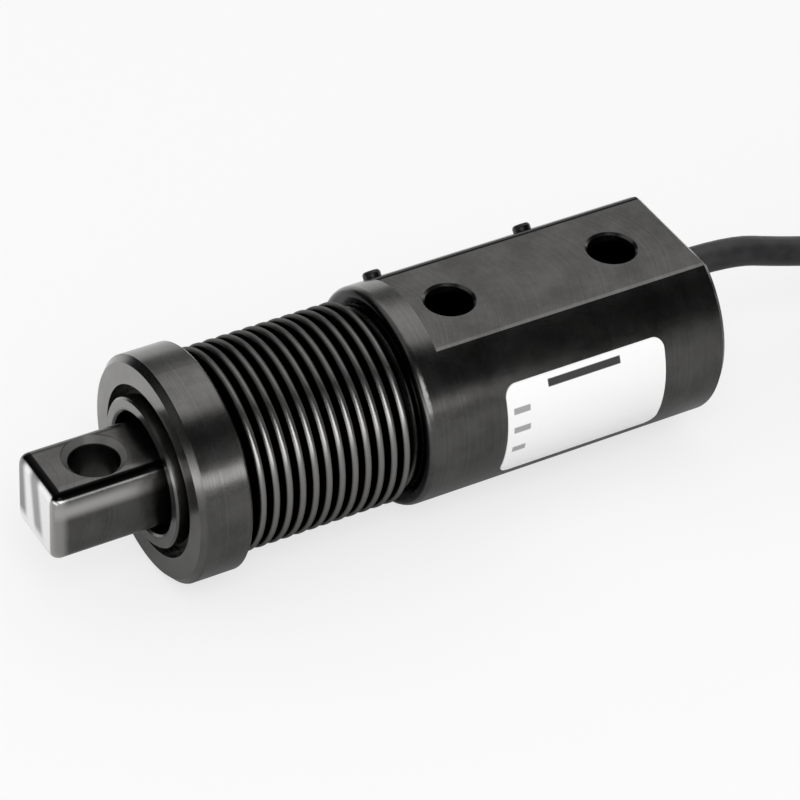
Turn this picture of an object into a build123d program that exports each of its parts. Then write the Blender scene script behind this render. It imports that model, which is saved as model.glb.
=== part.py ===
"""Bellows-sealed bending beam load cell with its signal cable.

The cell lies along X. Its load hole stands on the origin, its mounting flat faces +Z and
its cable leaves at the +X end. Every length is in millimetres.
"""
from build123d import *
from math import cos, degrees, pi, radians, sin, tan
import os

# Load block: the square bar that carries the load
BLOCK_SIDE = 16.8
BLOCK_EDGE_RADIUS = 3.0
BLOCK_NOSE_RADIUS = 2.1
BLOCK_NOSE = 12.7             # load hole axis to the front face
LOAD_HOLE_R = 5.15
LOAD_HOLE_CHAMFER = 1.35

# Hub, sleeve and collar at the front end
COLLAR_SETBACK = 11.6         # load hole axis to the collar's front face
COLLAR_LENGTH = 10.9
COLLAR_CHAMFER = 1.3
COLLAR_REAR_CHAMFER = 0.5
HUB_CLEARANCE = 0.363         # the sleeve passes over the load block
HUB_LENGTH = 7.5
SLEEVE_STEP = 1.6             # floor of the recess round the hub
SLEEVE_WALL = 2.8
SLEEVE_PROUD = 1.5
SLEEVE_FLOOR = 3.0
SLEEVE_LIP_CHAMFER = 0.4
GROOVE_WIDTH = 2.3
GROOVE_DEPTH = 2.6
RIM_WIDTH = 5.7
WELD_SIZE = 1.0

# Bellows
CONVOLUTIONS = 12
PITCH = 2.9
BELLOWS_SHEET = 0.3
BELLOWS_DEPTH = 3.7
SPIGOT_STEP = 1.6             # spigot radius above the sleeve's own
BEVEL_SHARE = tan(radians(22.5))  # makes each bevelled bend an eighth of a turn a side
CUFF_LENGTH = 2.15
CUFF_RING_WIDTH = 1.2
CUFF_RING_HEIGHT = 2.0
CUFF_RING_CHAMFER = 0.4

# Bending beam
BEAM_SIDE = 15.88
BORE_R = 5.0
BORE_SPACING = 18.0
SLOT_HEIGHT = 3.0
GAUGE_LENGTH = 8.0
GAUGE_WIDTH = 5.0
GAUGE_THICKNESS = 0.15
STRIP_LENGTH = 6.0
STRIP_THICKNESS = 0.8
JUMPER_R = 0.15
JUMPER_SPREAD = 1.6
LEAD_R = 0.3

# Body
BODY_R = 22.86
BODY_EDGE = 1.2
FLANGE_WIDTH = 6.4
FLANGE_ROUND = 1.8
FLAT_DEPTH = 3.81             # milled off the round body for the mounting flat
FLAT_CHAMFER = 0.4
MOUNT_SETBACK = 10.5          # flange to the first mounting hole
MOUNT_SPACING = 38.1
MOUNT_HOLE_R = 4.95
MOUNT_CHAMFER = 0.5
BODY_TAIL = 15.2              # last mounting hole to the rear face
SPOTFACE_R = 8.5
SPOTFACE_DEPTH = 4.9

# Rear chamber, its board and its cover
CHAMBER_WALL = 4.05           # between the chamber and the mounting flat
CHAMBER_DEPTH = 4.7
COVER_SEAT = 1.5
COVER_THICKNESS = 1.3
COVER_GROOVE_R = 0.3
COVER_WELD = 0.3
DUCT_R = 1.75
DUCT_EDGE = 0.12              # the duct passes the beam's corner by this much
LEAD_SLEEVE_CLEARANCE = 0.2
BOARD_CLEARANCE = 0.8
BOARD_THICKNESS = 1.0
SPACER_HEIGHT = 1.2
SPACER_R = 1.6
SCREW_R = 0.8
SCREW_DEPTH = 3.0
SCREW_HEAD_R = 1.5
SCREW_HEAD_HEIGHT = 1.0
SCREW_SLOT = 0.4
BOARD_SCREW_ANGLE = 24.0      # below the chamber's middle
BOARD_SCREW_SETBACK = 4.0     # in from the chamber's wall
RESISTOR_SIZE = (1.0, 3.2, 1.6)
RESISTOR_COUNT = 4
RESISTOR_SPACING = 3.9
RESISTOR_SETBACK = 5.0        # up from the chamber's lowest point

# Cable entry
ENTRY_CLEARANCE = 0.38        # between the nut's corner and the chamber's wall
CABLE_R = 3.15
BUSH_WALL = 1.05
BUSH_RIM = 0.8
BUSH_PROUD = 2.2
BUSH_EDGE = 0.5
NUT_THICKNESS = 1.2
NUT_WALL = 1.1
CORE_R = 0.55
CORE_COUNT = 4
CORE_ORBIT = 1.5

# Fill and purge plugs on the shoulder behind the flat
PLUG_ANGLE = 44.0             # from +Z towards +Y
PLUG_SETBACK = 2.1
PLUG_SPACING = 35.2
PLUG_SEAT_DEPTH = 0.7
PLUG_SEAT_R = 2.3
PLUG_HEAD_R = 1.9
PLUG_HEAD_HEIGHT = 1.8
PLUG_HEAD_ROUND = 0.8
PLUG_SHANK_R = 1.2
PLUG_SHANK_CLEARANCE = 0.1
PLUG_TIP_CLEARANCE = 2.6      # from the shank's end to the wire duct
PLUG_SOCKET_WIDTH = 1.5
PLUG_SOCKET_DEPTH = 1.0
WASHER_THICKNESS = 0.4
WASHER_EDGE = 0.2

# Label on the near side
LABEL_SETBACK = 11.6
LABEL_LENGTH = 37.0
LABEL_SPAN = 58.0             # degrees round the body
LABEL_THICKNESS = 0.2
LABEL_GLUE = 0.08
LABEL_CORNER = 2.5

# Cable: a free stretch, then a long coil that lies on the collar's lowest level
ARC_SHARE = 0.45
COIL_START_X = 202.0          # where the coil's straight runs begin
COIL_RUN = 56.0
COIL_FOLD_DIAMETERS = 3.0     # radius of the innermost turn
COIL_COLUMNS = 2
COIL_LAYERS = 6
COIL_LEAD_LAYER = 3           # layers below the one on which the cable comes in
COIL_SLACK = 0.5              # the turns lie this far inside the coil's outer shape
COIL_LEAD_CLEARANCE = 0.5
COIL_EDGE_RADIUS = 2.8
TIE_THICKNESS = 0.8
TIE_WIDTH = 8.0
TIE_SETBACK = 2.0
SHRINK_LENGTH = 13.0
SHRINK_THICKNESS = 0.4
END_CORE_LENGTH = 11.0

# Places that follow from the sizes above
BLOCK_HALF = BLOCK_SIDE / 2
BEAM_HALF = BEAM_SIDE / 2
COLLAR_FRONT = COLLAR_SETBACK
COLLAR_REAR = COLLAR_FRONT + COLLAR_LENGTH
BLOCK_REACH = (BLOCK_HALF - BLOCK_EDGE_RADIUS) * 2 ** 0.5 + BLOCK_EDGE_RADIUS
HUB_R = BLOCK_REACH + HUB_CLEARANCE
SLEEVE_BORE_R = HUB_R + SLEEVE_STEP
SLEEVE_R = SLEEVE_BORE_R + SLEEVE_WALL
GROOVE_R = SLEEVE_R + GROOVE_WIDTH
COLLAR_R = GROOVE_R + RIM_WIDTH
SPIGOT_R = SLEEVE_R + SPIGOT_STEP
SLEEVE_FRONT = COLLAR_FRONT - SLEEVE_PROUD
SLEEVE_REAR = COLLAR_REAR + CUFF_LENGTH
FLOOR_X = COLLAR_REAR - SLEEVE_FLOOR
HUB_REAR = FLOOR_X + HUB_LENGTH
FLANGE_FRONT = COLLAR_REAR + 2 * CUFF_LENGTH + CONVOLUTIONS * PITCH
FLANGE_REAR = FLANGE_FRONT + FLANGE_WIDTH
SPIGOT_FRONT = FLANGE_FRONT - CUFF_LENGTH
MOUNT_X = [FLANGE_REAR + MOUNT_SETBACK, FLANGE_REAR + MOUNT_SETBACK + MOUNT_SPACING]
BODY_REAR = MOUNT_X[-1] + BODY_TAIL
BEAM_MIDDLE = (HUB_REAR + SPIGOT_FRONT) / 2
BORE_X = [BEAM_MIDDLE - BORE_SPACING / 2, BEAM_MIDDLE + BORE_SPACING / 2]
FLAT_HEIGHT = BODY_R - FLAT_DEPTH
CHAMBER_R = FLAT_HEIGHT - CHAMBER_WALL
COVER_R = CHAMBER_R + COVER_SEAT
COVER_FRONT = BODY_REAR - COVER_THICKNESS
CHAMBER_FLOOR = COVER_FRONT - CHAMBER_DEPTH
BOARD_FRONT = CHAMBER_FLOOR + SPACER_HEIGHT
BOARD_REAR = BOARD_FRONT + BOARD_THICKNESS
BOARD_SCREW_ORBIT = CHAMBER_R - BOARD_SCREW_SETBACK
BOARD_SCREW_Y = BOARD_SCREW_ORBIT * cos(radians(BOARD_SCREW_ANGLE))
BOARD_SCREW_Z = -BOARD_SCREW_ORBIT * sin(radians(BOARD_SCREW_ANGLE))
RESISTOR_Z = RESISTOR_SETBACK - CHAMBER_R
DUCT_ORBIT = BEAM_HALF * 2 ** 0.5 + DUCT_R + DUCT_EDGE
PLUG_TIP = DUCT_ORBIT + DUCT_R + PLUG_TIP_CLEARANCE
BUSH_BODY_R = CABLE_R + BUSH_WALL
NUT_HALF = BUSH_BODY_R + NUT_WALL
ENTRY_Z = CHAMBER_R - NUT_HALF / cos(radians(30)) - ENTRY_CLEARANCE
BUSH_FACE = BODY_REAR + BUSH_PROUD
FLOOR_Z = -COLLAR_R
INNER_TURN_R = 2 * CABLE_R * COIL_FOLD_DIAMETERS
OUTER_TURN_R = INNER_TURN_R + 2 * CABLE_R * (COIL_COLUMNS - 1)
COIL_INNER_R = INNER_TURN_R - CABLE_R - COIL_SLACK
COIL_OUTER_R = OUTER_TURN_R + CABLE_R + COIL_SLACK
COIL_HEIGHT = 2 * (CABLE_R * COIL_LAYERS + COIL_SLACK)
COIL_BOTTOM = FLOOR_Z + TIE_THICKNESS
COIL_CENTRE_X = COIL_START_X + COIL_RUN / 2
COIL_CENTRE_Y = -OUTER_TURN_R
LOW_TURN_Z = COIL_BOTTOM + COIL_SLACK + CABLE_R
LEAD_TURN_Z = LOW_TURN_Z + 2 * CABLE_R * COIL_LEAD_LAYER
TIE_X = [COIL_START_X + TIE_SETBACK, COIL_START_X + COIL_RUN - TIE_SETBACK - TIE_WIDTH]
SHRINK_R = CABLE_R + SHRINK_THICKNESS
LEAD_REACH = (COIL_OUTER_R ** 2 - (OUTER_TURN_R - SHRINK_R) ** 2) ** 0.5 + COIL_LEAD_CLEARANCE
CABLE_JOIN_X = COIL_START_X - LEAD_REACH
TAIL_Y = -2 * OUTER_TURN_R
SHRINK_END = CABLE_JOIN_X - SHRINK_LENGTH
CABLE_ROUTE = [
    (BUSH_FACE, 0.0, ENTRY_Z),
    (146.5, 0.0, ENTRY_Z),
    (158.9, 0.0, 3.95),
    (171.2, 0.0, LEAD_TURN_Z),
    (CABLE_JOIN_X, 0.0, LEAD_TURN_Z),
]
OVERCUT = 1.0                 # how far a cutting tool runs past the face it opens


def across(x, y=0.0, z=0.0):
    """Plane square to the cell's axis at x, its own axes along Y and Z."""
    return Plane(origin=(x, y, z), x_dir=(0, 1, 0), z_dir=(1, 0, 0))


def shoulder(x, radius):
    """Plane on the rear shoulder, facing out along the plugs' direction."""
    out = (0, sin(radians(PLUG_ANGLE)), cos(radians(PLUG_ANGLE)))
    return Plane(origin=(x, radius * out[1], radius * out[2]), x_dir=(1, 0, 0), z_dir=out)


def rod(x0, x1, radius, y=0.0, z=0.0):
    """Round bar along X."""
    return extrude(across(x0, y, z) * Circle(radius), x1 - x0)


def ring(x0, x1, outer, inner):
    """Round tube along X about the cell's axis."""
    return extrude(across(x0) * (Circle(outer) - Circle(inner)), x1 - x0)


def turned(points):
    """Solid of revolution about the cell's axis from an (x, radius) outline."""
    outline = Polyline(*points, close=True)
    return revolve(Plane.XZ * make_face(outline), Axis.X)


def block(x0, x1, y0, y1, z0, z1):
    """Rectangular block between two corners."""
    centre = Pos((x0 + x1) / 2, (y0 + y1) / 2, (z0 + z1) / 2)
    return centre * Box(x1 - x0, y1 - y0, z1 - z0)


def edges_round(solid, x, radius):
    """The circular edges of a turned piece at one station and radius."""
    found = solid.edges().filter_by(GeomType.CIRCLE)
    return [e for e in found if abs(e.center().X - x) < 0.01 and abs(e.radius - radius) < 0.01]


def countersunk_bore(x, radius, chamfer, z0, z1, both_ends):
    """Cutter for an upright hole with a chamfered mouth."""
    cutter = Pos(x, 0, (z0 + z1) / 2) * Cylinder(radius, z1 - z0 + 2 * OVERCUT)
    cone = Cone(radius, radius + chamfer, chamfer)
    cutter += Pos(x, 0, z1 - chamfer / 2) * cone
    if both_ends:
        cutter += Pos(x, 0, z0 + chamfer / 2) * Rot(180, 0, 0) * cone
    return cutter


def load_block():
    """Square bar with rounded edges and the chamfered load hole."""
    bar = block(-BLOCK_NOSE, FLOOR_X + OVERCUT, -BLOCK_HALF, BLOCK_HALF, -BLOCK_HALF, BLOCK_HALF)
    bar = fillet(bar.edges().filter_by(Axis.X), BLOCK_EDGE_RADIUS)
    bar = fillet(bar.faces().sort_by(Axis.X)[0].edges(), BLOCK_NOSE_RADIUS)
    return bar - countersunk_bore(0, LOAD_HOLE_R, LOAD_HOLE_CHAMFER, -BLOCK_HALF, BLOCK_HALF, True)


def bending_beam():
    """Square beam with two cross bores joined by a slot, which thin it under the gauges."""
    beam = block(HUB_REAR - OVERCUT, SPIGOT_FRONT + OVERCUT, -BEAM_HALF, BEAM_HALF, -BEAM_HALF, BEAM_HALF)
    for x in BORE_X:
        beam -= Pos(x, 0, 0) * Rot(90, 0, 0) * Cylinder(BORE_R, BEAM_SIDE + OVERCUT)
    slot = SLOT_HEIGHT / 2
    beam -= block(BORE_X[0], BORE_X[1], -BEAM_SIDE, BEAM_SIDE, -slot, slot)
    return beam


def body_blank():
    """Turned flange and body with the milled mounting flat."""
    body = rod(FLANGE_FRONT, BODY_REAR, BODY_R)
    body = fillet(edges_round(body, FLANGE_FRONT, BODY_R), FLANGE_ROUND)
    above = BODY_R + OVERCUT
    body -= block(FLANGE_REAR, BODY_REAR + OVERCUT, -above, above, FLAT_HEIGHT, above)
    body = chamfer(body.faces().sort_by(Axis.X)[-1].edges(), BODY_EDGE)
    long_edges = body.edges().filter_by(Axis.X).filter_by(lambda e: abs(e.center().Z - FLAT_HEIGHT) < 0.01)
    body = chamfer(long_edges, FLAT_CHAMFER)
    return body + rod(SPIGOT_FRONT, FLANGE_FRONT + OVERCUT, SPIGOT_R)


def mounting_cutters():
    """Two upright holes, chamfered at the flat and spot-faced below for the screw heads."""
    seat = SPOTFACE_DEPTH - BODY_R
    cutters = []
    for x in MOUNT_X:
        cutters.append(countersunk_bore(x, MOUNT_HOLE_R, MOUNT_CHAMFER, seat, FLAT_HEIGHT, False))
        depth = SPOTFACE_DEPTH + OVERCUT
        cutters.append(Pos(x, 0, seat - depth / 2) * Cylinder(SPOTFACE_R, depth))
    return cutters


def duct_centre():
    """Y and Z of the wire duct, which runs under the plugs and beside the mounting holes."""
    angle = radians(PLUG_ANGLE)
    return DUCT_ORBIT * sin(angle), DUCT_ORBIT * cos(angle)


def plug_stations():
    first = FLANGE_REAR + PLUG_SETBACK
    return [first, first + PLUG_SPACING]


def plug_cutters():
    """Seat and hole of each plug, down to the wire duct."""
    seat = BODY_R - PLUG_SEAT_DEPTH
    hole_r = PLUG_SHANK_R + PLUG_SHANK_CLEARANCE
    cutters = []
    for x in plug_stations():
        cutters.append(extrude(shoulder(x, seat) * Circle(PLUG_SEAT_R), PLUG_SEAT_DEPTH + OVERCUT))
        cutters.append(extrude(shoulder(x, DUCT_ORBIT) * Circle(hole_r), seat - DUCT_ORBIT))
    return cutters


def spring_element():
    """The one machined bar: load block, hub, bending beam, flange and D-section body."""
    y, z = duct_centre()
    bar = load_block() + rod(FLOOR_X, HUB_REAR, HUB_R) + bending_beam() + body_blank()
    bar -= rod(CHAMBER_FLOOR, BODY_REAR, CHAMBER_R)
    bar -= rod(COVER_FRONT, BODY_REAR + OVERCUT, COVER_R)
    bar -= rod(SPIGOT_FRONT, BOARD_FRONT, DUCT_R, y, z)
    for cutter in mounting_cutters() + plug_cutters():
        bar -= cutter
    for side in (-1, 1):
        bar -= rod(CHAMBER_FLOOR - SCREW_DEPTH, CHAMBER_FLOOR, SCREW_R, side * BOARD_SCREW_Y, BOARD_SCREW_Z)
    return bar


def hub_sleeve():
    """Cup welded to the hub: its lip stands in the collar and its rear spigot holds the bellows."""
    outline = [
        (SLEEVE_FRONT, SLEEVE_BORE_R),
        (SLEEVE_FRONT, SLEEVE_R),
        (COLLAR_REAR, SLEEVE_R),
        (COLLAR_REAR, SPIGOT_R),
        (SLEEVE_REAR, SPIGOT_R),
        (SLEEVE_REAR, HUB_R),
        (FLOOR_X, HUB_R),
        (FLOOR_X, SLEEVE_BORE_R),
    ]
    sleeve = turned(outline)
    lip = edges_round(sleeve, SLEEVE_FRONT, SLEEVE_R) + edges_round(sleeve, SLEEVE_FRONT, SLEEVE_BORE_R)
    return chamfer(lip, SLEEVE_LIP_CHAMFER)


def front_collar():
    """Thick guard ring, counterbored at the front to leave the groove round the sleeve."""
    outline = [
        (COLLAR_FRONT, GROOVE_R),
        (COLLAR_FRONT, COLLAR_R - COLLAR_CHAMFER),
        (COLLAR_FRONT + COLLAR_CHAMFER, COLLAR_R),
        (COLLAR_REAR - COLLAR_REAR_CHAMFER, COLLAR_R),
        (COLLAR_REAR, COLLAR_R - COLLAR_REAR_CHAMFER),
        (COLLAR_REAR, SLEEVE_R),
        (COLLAR_FRONT + GROOVE_DEPTH, SLEEVE_R),
        (COLLAR_FRONT + GROOVE_DEPTH, GROOVE_R),
    ]
    return turned(outline)


def front_weld():
    """Fillet weld at the bottom of the groove, between sleeve and collar."""
    bottom = COLLAR_FRONT + GROOVE_DEPTH
    return turned([(bottom, SLEEVE_R), (bottom, SLEEVE_R + WELD_SIZE), (bottom - WELD_SIZE, SLEEVE_R)])


def bellows_skin(side):
    """One skin of the bellows from cuff to cuff: side is 1 for the outer skin, -1 for the inner.

    Roots and inner crests are bevelled and the outer crests are rounded.
    """
    quarter = PITCH / 4
    half_sheet = BELLOWS_SHEET / 2
    crest_round = quarter + side * half_sheet
    root_round = quarter - side * half_sheet
    root_level = SPIGOT_R + half_sheet + quarter
    crest_level = SPIGOT_R + BELLOWS_SHEET + BELLOWS_DEPTH - half_sheet - quarter
    bottom = root_level - root_round
    top = crest_level + crest_round
    crest_bevel = crest_round * BEVEL_SHARE
    root_bevel = root_round * BEVEL_SHARE
    edges = []
    end = (COLLAR_REAR, bottom)
    for count in range(CONVOLUTIONS):
        left = COLLAR_REAR + CUFF_LENGTH + count * PITCH
        middle = left + PITCH / 2
        right = left + PITCH
        rise = [end, (left + root_bevel, bottom), (middle - crest_round, root_level - root_bevel)]
        fall = [(middle + crest_round, root_level - root_bevel), (right - root_bevel, bottom)]
        if side > 0:
            rise.append((middle - crest_round, crest_level))
            fall.insert(0, (middle + crest_round, crest_level))
            edges += Polyline(*rise).edges()
            edges.append(ThreePointArc(rise[-1], (middle, top), fall[0]))
        else:
            rise.append((middle - crest_round, crest_level + crest_bevel))
            rise.append((middle - crest_bevel, top))
            fall.insert(0, (middle + crest_round, crest_level + crest_bevel))
            fall.insert(0, (middle + crest_bevel, top))
            edges += Polyline(*rise, fall[0]).edges()
        edges += Polyline(*fall).edges()
        end = fall[-1]
    edges.append(Line(end, (FLANGE_FRONT, bottom)))
    return edges


def bellows():
    """Thin corrugated tube with a plain cuff at each end."""
    outer = bellows_skin(1)
    inner = bellows_skin(-1)
    ends = [Line(inner[0] @ 0, outer[0] @ 0), Line(inner[-1] @ 1, outer[-1] @ 1)]
    outline = Wire(outer + inner + ends)
    return revolve(Plane.XZ * make_face(outline), Axis.X)


def cuff_ring(x0):
    """Ring that holds a bellows cuff on its spigot for the weld."""
    inner = SPIGOT_R + BELLOWS_SHEET
    band = ring(x0, x0 + CUFF_RING_WIDTH, inner + CUFF_RING_HEIGHT, inner)
    corners = edges_round(band, x0, inner + CUFF_RING_HEIGHT)
    corners += edges_round(band, x0 + CUFF_RING_WIDTH, inner + CUFF_RING_HEIGHT)
    return chamfer(corners, CUFF_RING_CHAMFER)


def gauge(x, side):
    """Foil strain gauge on the thin part of the beam: side is 1 above, -1 below."""
    level = side * (BEAM_HALF + GAUGE_THICKNESS / 2)
    return Pos(x, 0, level) * Box(GAUGE_LENGTH, GAUGE_WIDTH, GAUGE_THICKNESS)


def terminal_strip(side):
    """Small solder strip between the two gauges of one face."""
    level = side * (BEAM_HALF + STRIP_THICKNESS / 2)
    return Pos(BEAM_MIDDLE, 0, level) * Box(STRIP_LENGTH, BEAM_SIDE, STRIP_THICKNESS)


def gauge_jumpers():
    """Short wires that lie on the beam between each gauge and its strip."""
    wires = []
    gap = BORE_SPACING / 2 - GAUGE_LENGTH / 2 - STRIP_LENGTH / 2
    for side in (-1, 1):
        level = side * (BEAM_HALF + JUMPER_R)
        for x0 in (BORE_X[0] + GAUGE_LENGTH / 2, BEAM_MIDDLE + STRIP_LENGTH / 2):
            for y in (-JUMPER_SPREAD, JUMPER_SPREAD):
                wires.append(rod(x0, x0 + gap, JUMPER_R, y, level))
    return Compound(wires)


def side_jumper():
    """Wire down the beam's side that joins the two terminal strips."""
    half = BEAM_HALF + STRIP_THICKNESS
    return Pos(BEAM_MIDDLE, BEAM_HALF + LEAD_R, 0) * Cylinder(LEAD_R, 2 * half)


def bridge_lead():
    """Lead bundle from the upper strip to the mouth of the duct."""
    y, z = duct_centre()
    start = Vector(BEAM_MIDDLE, BEAM_HALF / 2, BEAM_HALF + STRIP_THICKNESS + LEAD_R)
    end = Vector(SPIGOT_FRONT, y, z)
    plane = Plane(origin=start, z_dir=end - start)
    return extrude(plane * Circle(LEAD_R), (end - start).length) - rod(SPIGOT_FRONT, BODY_REAR, DUCT_R, y, z)


def lead_sleeve():
    """Insulating sleeve that carries the leads through the duct."""
    y, z = duct_centre()
    return rod(SPIGOT_FRONT, BOARD_FRONT, DUCT_R - LEAD_SLEEVE_CLEARANCE, y, z)


def trim_board():
    """Round circuit board, held off the chamber floor."""
    board = rod(BOARD_FRONT, BOARD_REAR, CHAMBER_R - BOARD_CLEARANCE)
    for side in (-1, 1):
        board -= rod(BOARD_FRONT, BOARD_REAR, SCREW_R, side * BOARD_SCREW_Y, BOARD_SCREW_Z)
    return board


def board_spacers():
    pieces = []
    for side in (-1, 1):
        y = side * BOARD_SCREW_Y
        spacer = rod(CHAMBER_FLOOR, BOARD_FRONT, SPACER_R, y, BOARD_SCREW_Z)
        pieces.append(spacer - rod(CHAMBER_FLOOR, BOARD_FRONT, SCREW_R, y, BOARD_SCREW_Z))
    return Compound(pieces)


def board_screws():
    """Slotted screws through the board and its spacers."""
    pieces = []
    for side in (-1, 1):
        y = side * BOARD_SCREW_Y
        head_top = BOARD_REAR + SCREW_HEAD_HEIGHT
        screw = rod(CHAMBER_FLOOR - SCREW_DEPTH, BOARD_REAR, SCREW_R, y, BOARD_SCREW_Z)
        screw += rod(BOARD_REAR, head_top, SCREW_HEAD_R, y, BOARD_SCREW_Z)
        half = SCREW_SLOT / 2
        z0, z1 = BOARD_SCREW_Z - half, BOARD_SCREW_Z + half
        screw -= block(head_top - SCREW_SLOT, head_top, y - SCREW_HEAD_R, y + SCREW_HEAD_R, z0, z1)
        pieces.append(screw)
    return Compound(pieces)


def trim_resistors():
    """Chip resistors that balance the bridge."""
    depth, width, height = RESISTOR_SIZE
    pieces = []
    for count in range(RESISTOR_COUNT):
        y = (count - (RESISTOR_COUNT - 1) / 2) * RESISTOR_SPACING
        pieces.append(Pos(BOARD_REAR + depth / 2, y, RESISTOR_Z) * Box(depth, width, height))
    return Compound(pieces)


def rear_cover():
    """Disc that closes the chamber, grooved round its edge, with the cable entry hole."""
    cover = rod(COVER_FRONT, BODY_REAR, COVER_R - COVER_WELD)
    return cover - rod(COVER_FRONT, BODY_REAR, BUSH_BODY_R, 0, ENTRY_Z)


def cover_weld():
    """Weld line that fills the gap round the cover, slightly below the rear face."""
    band = ring(COVER_FRONT, BODY_REAR, COVER_R, COVER_R - COVER_WELD)
    return band - ring(BODY_REAR - COVER_GROOVE_R, BODY_REAR, COVER_R, COVER_R - COVER_WELD)


def cable_bush():
    """Low turned bush in the cover, with a rounded rim outside."""
    bush = rod(COVER_FRONT - NUT_THICKNESS, BODY_REAR, BUSH_BODY_R, 0, ENTRY_Z)
    rim = rod(BODY_REAR, BUSH_FACE, BUSH_BODY_R + BUSH_RIM, 0, ENTRY_Z)
    rim = fillet(edges_round(rim, BUSH_FACE, BUSH_BODY_R + BUSH_RIM), BUSH_EDGE)
    return bush + rim - rod(COVER_FRONT - NUT_THICKNESS, BUSH_FACE, CABLE_R, 0, ENTRY_Z)


def bush_nut():
    """Thin hexagon nut on the bush inside the chamber."""
    plane = across(COVER_FRONT - NUT_THICKNESS, 0, ENTRY_Z)
    nut = extrude(plane * RegularPolygon(NUT_HALF, 6, major_radius=False), NUT_THICKNESS)
    return nut - rod(COVER_FRONT - NUT_THICKNESS, COVER_FRONT, BUSH_BODY_R, 0, ENTRY_Z)


def core_places():
    """Y and Z of the conductors in the cable's section."""
    places = []
    for count in range(CORE_COUNT):
        angle = 2 * pi * (count + 0.5) / CORE_COUNT
        places.append((CORE_ORBIT * cos(angle), CORE_ORBIT * sin(angle)))
    return places


def cable_seal():
    """Rubber seal in the bush, pierced by the conductors."""
    seal = rod(COVER_FRONT - NUT_THICKNESS, BUSH_FACE, CABLE_R, 0, ENTRY_Z)
    for y, z in core_places():
        seal -= rod(COVER_FRONT - NUT_THICKNESS, BUSH_FACE, CORE_R, y, ENTRY_Z + z)
    return seal


def inner_cores():
    """Conductors from the cable's end through the seal to the board."""
    return Compound([rod(BOARD_REAR, BUSH_FACE, CORE_R, y, ENTRY_Z + z) for y, z in core_places()])


def plug(x):
    """Button head plug screw on its seat on the shoulder."""
    under = BODY_R - PLUG_SEAT_DEPTH + WASHER_THICKNESS
    head = extrude(shoulder(x, under) * Circle(PLUG_HEAD_R), PLUG_HEAD_HEIGHT)
    rim = head.faces().sort_by(Axis.Z)[-1].edges()
    head = fillet(rim, PLUG_HEAD_ROUND)
    socket = RegularPolygon(PLUG_SOCKET_WIDTH / 2, 6, major_radius=False)
    floor = under + PLUG_HEAD_HEIGHT - PLUG_SOCKET_DEPTH
    head -= extrude(shoulder(x, floor) * socket, PLUG_SOCKET_DEPTH + OVERCUT)
    return head + extrude(shoulder(x, PLUG_TIP) * Circle(PLUG_SHANK_R), under - PLUG_TIP)


def plug_washers():
    """Sealing washer under each plug's head."""
    section = Circle(PLUG_HEAD_R + WASHER_EDGE) - Circle(PLUG_SHANK_R)
    seat = BODY_R - PLUG_SEAT_DEPTH
    return Compound([extrude(shoulder(x, seat) * section, WASHER_THICKNESS) for x in plug_stations()])


def label_plate():
    """Thin blank plate bent round the body's near side."""
    x0 = FLANGE_REAR + LABEL_SETBACK
    under = BODY_R + LABEL_GLUE
    sheet = ring(x0, x0 + LABEL_LENGTH, under + LABEL_THICKNESS, under)
    height = 2 * BODY_R * sin(radians(LABEL_SPAN / 2))
    near = Plane(origin=(x0 + LABEL_LENGTH / 2, 0, 0), x_dir=(1, 0, 0), z_dir=(0, -1, 0))
    blank = extrude(near * RectangleRounded(LABEL_LENGTH, height, LABEL_CORNER), 2 * BODY_R)
    return sheet & blank


def corner_radii(points):
    """Arc for each inner corner of a route, as large as its two runs allow."""
    radii = []
    for before, corner, after in zip(points, points[1:], points[2:]):
        run_in = Vector(*corner) - Vector(*before)
        run_out = Vector(*after) - Vector(*corner)
        shorter = min(run_in.length, run_out.length)
        radii.append(ARC_SHARE * shorter / tan(radians(run_in.get_angle(run_out)) / 2))
    return radii


def cable():
    """Free stretch from the bush, drooping to the top of the coil."""
    radii = corner_radii(CABLE_ROUTE)
    path = FilletPolyline(*CABLE_ROUTE, radius=radii)
    tube = sweep(Plane(origin=path @ 0, z_dir=path % 0) * Circle(CABLE_R), path)
    print("cable arc radii", [round(radius, 1) for radius in radii])
    print("cable free length", round(path.length, 2), "volume ratio",
          round(tube.volume / (pi * CABLE_R ** 2 * path.length), 4))
    return tube


def cable_coil():
    """Outer shape of the wound cable, with the straight leads into and out of it."""
    slot = SlotCenterToCenter(COIL_RUN, 2 * COIL_OUTER_R) - SlotCenterToCenter(COIL_RUN, 2 * COIL_INNER_R)
    coil = Pos(COIL_CENTRE_X, COIL_CENTRE_Y, COIL_BOTTOM) * extrude(slot, COIL_HEIGHT)
    rims = coil.faces().filter_by(Axis.Z).edges()
    coil = fillet(rims, COIL_EDGE_RADIUS)
    coil += rod(CABLE_JOIN_X, COIL_START_X, CABLE_R, 0, LEAD_TURN_Z)
    coil += rod(CABLE_JOIN_X, COIL_START_X, CABLE_R, TAIL_Y, LOW_TURN_Z)
    return coil


def coil_ties():
    """Two bands strapped round the coil, which also keep it off the floor."""
    width = 2 * COIL_OUTER_R
    outer = RectangleRounded(width + 2 * TIE_THICKNESS, COIL_HEIGHT + 2 * TIE_THICKNESS,
                             COIL_EDGE_RADIUS + TIE_THICKNESS)
    inner = RectangleRounded(width, COIL_HEIGHT, COIL_EDGE_RADIUS)
    middle_z = COIL_BOTTOM + COIL_HEIGHT / 2
    return [extrude(across(x, COIL_CENTRE_Y, middle_z) * (outer - inner), TIE_WIDTH) for x in TIE_X]


def heat_shrink():
    """Sleeve over the cable's cut end, where the conductors come out."""
    return rod(SHRINK_END, CABLE_JOIN_X, SHRINK_R, TAIL_Y, LOW_TURN_Z)


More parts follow.
